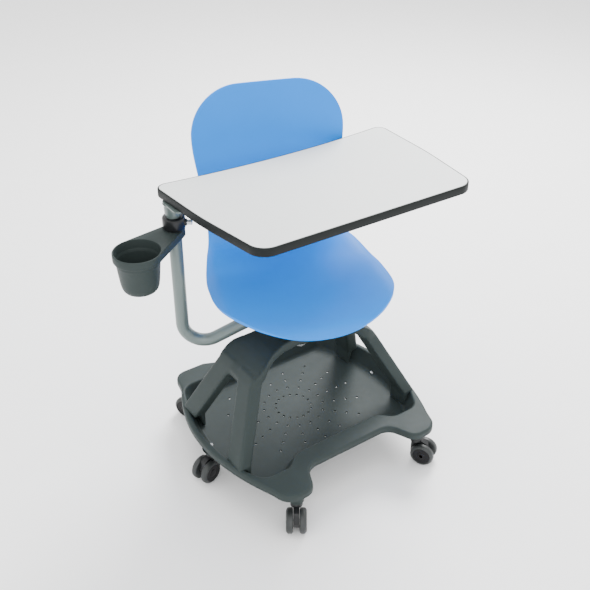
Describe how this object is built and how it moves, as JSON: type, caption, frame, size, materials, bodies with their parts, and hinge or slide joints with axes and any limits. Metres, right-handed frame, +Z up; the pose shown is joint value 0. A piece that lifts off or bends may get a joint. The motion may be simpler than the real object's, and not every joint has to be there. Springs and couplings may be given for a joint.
{
  "type": "student desk chair",
  "caption": "Swivel classroom chair: one-piece seat shell over an open storage tray on twin-wheel casters, with a swing-round writing desk and a cup holder on a bent tube arm.",
  "frame": {"origin": "the middle of the bounding box's bottom face, on the floor under the chair", "axes": "+Z up; the base and desk face -Y; +X is the sitter's left"},
  "size_m": [0.7328, 0.5766, 0.8071],
  "materials": {
    "shell_plastic": "satin moulded blue polypropylene with a very fine grain",
    "base_plastic": "satin dark grey moulded plastic with a fine grain",
    "caster_plastic": "smooth black moulded nylon",
    "tread_plastic": "dull black hard tread",
    "bush_plastic": "natural acetal",
    "tube_paint": "grey-green metallic powder coat on steel",
    "bracket_paint": "black powder coat on steel",
    "steel": "zinc-plated steel",
    "desk_laminate": "matt white laminate on a board core",
    "desk_edging": "charcoal plastic edge band"
  },
  "bodies": {
    "base": {"base_tray": "base_plastic", "front_left_strut": "base_plastic", "front_right_strut": "base_plastic", "rear_left_strut": "base_plastic", "rear_right_strut": "base_plastic", "swivel_housing": "base_plastic", "housing_bush": "bush_plastic", "front_right_stem": "steel", "front_left_stem": "steel", "middle_right_stem": "steel", "middle_left_stem": "steel", "rear_right_stem": "steel", "rear_left_stem": "steel"},
    "seat": {"seat_shell": "shell_plastic", "seat_bracket": "bracket_paint", "seat_spindle": "steel", "thrust_washer": "bush_plastic", "spindle_washer": "steel", "spindle_nut": "steel", "seat_screw_1": "steel", "seat_screw_2": "steel", "seat_screw_3": "steel", "seat_screw_4": "steel"},
    "arm": {"arm_ring": "tube_paint", "arm_bush": "bush_plastic", "arm_tube": "tube_paint"},
    "desk": {"desk_board": "desk_laminate", "edge_band": "desk_edging", "desk_pivot": "tube_paint", "desk_screw_1": "steel", "desk_screw_2": "steel", "desk_screw_3": "steel"},
    "cup": {"cup_holder": "base_plastic", "holder_collar": "caster_plastic", "clamp_screw": "steel"},
    "front_right_caster": {"front_right_hood": "caster_plastic"},
    "front_right_wheels": {"front_right_axle": "steel", "front_right_wheel_a": "tread_plastic", "front_right_wheel_b": "tread_plastic"},
    "front_left_caster": {"front_left_hood": "caster_plastic"},
    "front_left_wheels": {"front_left_axle": "steel", "front_left_wheel_a": "tread_plastic", "front_left_wheel_b": "tread_plastic"},
    "middle_right_caster": {"middle_right_hood": "caster_plastic"},
    "middle_right_wheels": {"middle_right_axle": "steel", "middle_right_wheel_a": "tread_plastic", "middle_right_wheel_b": "tread_plastic"},
    "middle_left_caster": {"middle_left_hood": "caster_plastic"},
    "middle_left_wheels": {"middle_left_axle": "steel", "middle_left_wheel_a": "tread_plastic", "middle_left_wheel_b": "tread_plastic"},
    "rear_right_caster": {"rear_right_hood": "caster_plastic"},
    "rear_right_wheels": {"rear_right_axle": "steel", "rear_right_wheel_a": "tread_plastic", "rear_right_wheel_b": "tread_plastic"},
    "rear_left_caster": {"rear_left_hood": "caster_plastic"},
    "rear_left_wheels": {"rear_left_axle": "steel", "rear_left_wheel_a": "tread_plastic", "rear_left_wheel_b": "tread_plastic"}
  },
  "joints": [
    {"name": "seat_swivel", "type": "hinge", "parent": "base", "child": "seat", "pos_m": [0.01169, -0.0134, 0.34], "axis": [0, 0, 1], "continuous": true},
    {"name": "arm_swing", "type": "hinge", "parent": "seat", "child": "arm", "pos_m": [0.01169, -0.0134, 0.36], "axis": [0, 0, 1], "range_deg": [-30, 1.5]},
    {"name": "desk_swivel", "type": "hinge", "parent": "arm", "child": "desk", "pos_m": [-0.20931, 0.12361, 0.6], "axis": [0, 0, 1], "range_deg": [-110, 0]},
    {"name": "cup_swivel", "type": "hinge", "parent": "arm", "child": "cup", "pos_m": [-0.20931, 0.12361, 0.58], "axis": [0, 0, 1], "range_deg": [-60, 60]},
    {"name": "front_right_swivel", "type": "hinge", "parent": "base", "child": "front_right_caster", "pos_m": [-0.15031, -0.23739, 0.06], "axis": [0, 0, 1], "continuous": true},
    {"name": "front_left_swivel", "type": "hinge", "parent": "base", "child": "front_left_caster", "pos_m": [0.19769, -0.22939, 0.06], "axis": [0, 0, 1], "continuous": true},
    {"name": "middle_right_swivel", "type": "hinge", "parent": "base", "child": "middle_right_caster", "pos_m": [-0.22431, -0.00139, 0.06], "axis": [0, 0, 1], "continuous": true},
    {"name": "middle_left_swivel", "type": "hinge", "parent": "base", "child": "middle_left_caster", "pos_m": [0.24769, -0.00139, 0.06], "axis": [0, 0, 1], "continuous": true},
    {"name": "rear_right_swivel", "type": "hinge", "parent": "base", "child": "rear_right_caster", "pos_m": [-0.15431, 0.20061, 0.06], "axis": [0, 0, 1], "continuous": true},
    {"name": "rear_left_swivel", "type": "hinge", "parent": "base", "child": "rear_left_caster", "pos_m": [0.17769, 0.20061, 0.06], "axis": [0, 0, 1], "continuous": true},
    {"name": "front_right_roll", "type": "hinge", "parent": "front_right_caster", "child": "front_right_wheels", "pos_m": [-0.16236, -0.2546, 0.028], "axis": [0.8191, -0.5736, 0], "continuous": true},
    {"name": "front_left_roll", "type": "hinge", "parent": "front_left_caster", "child": "front_left_wheels", "pos_m": [0.20851, -0.2474, 0.028], "axis": [0.8572, 0.515, 0], "continuous": true},
    {"name": "middle_right_roll", "type": "hinge", "parent": "middle_right_caster", "child": "middle_right_wheels", "pos_m": [-0.24428, -0.00788, 0.028], "axis": [0.309, -0.9511, 0], "continuous": true},
    {"name": "middle_left_roll", "type": "hinge", "parent": "middle_left_caster", "child": "middle_left_wheels", "pos_m": [0.26489, 0.01065, 0.028], "axis": [-0.5736, 0.8191, 0], "continuous": true},
    {"name": "rear_right_roll", "type": "hinge", "parent": "rear_right_caster", "child": "rear_right_wheels", "pos_m": [-0.16417, 0.21915, 0.028], "axis": [-0.8829, -0.4695, 0], "continuous": true},
    {"name": "rear_left_roll", "type": "hinge", "parent": "rear_left_caster", "child": "rear_left_wheels", "pos_m": [0.18313, 0.22088, 0.028], "axis": [-0.9659, 0.2588, 0], "continuous": true}
  ]
}
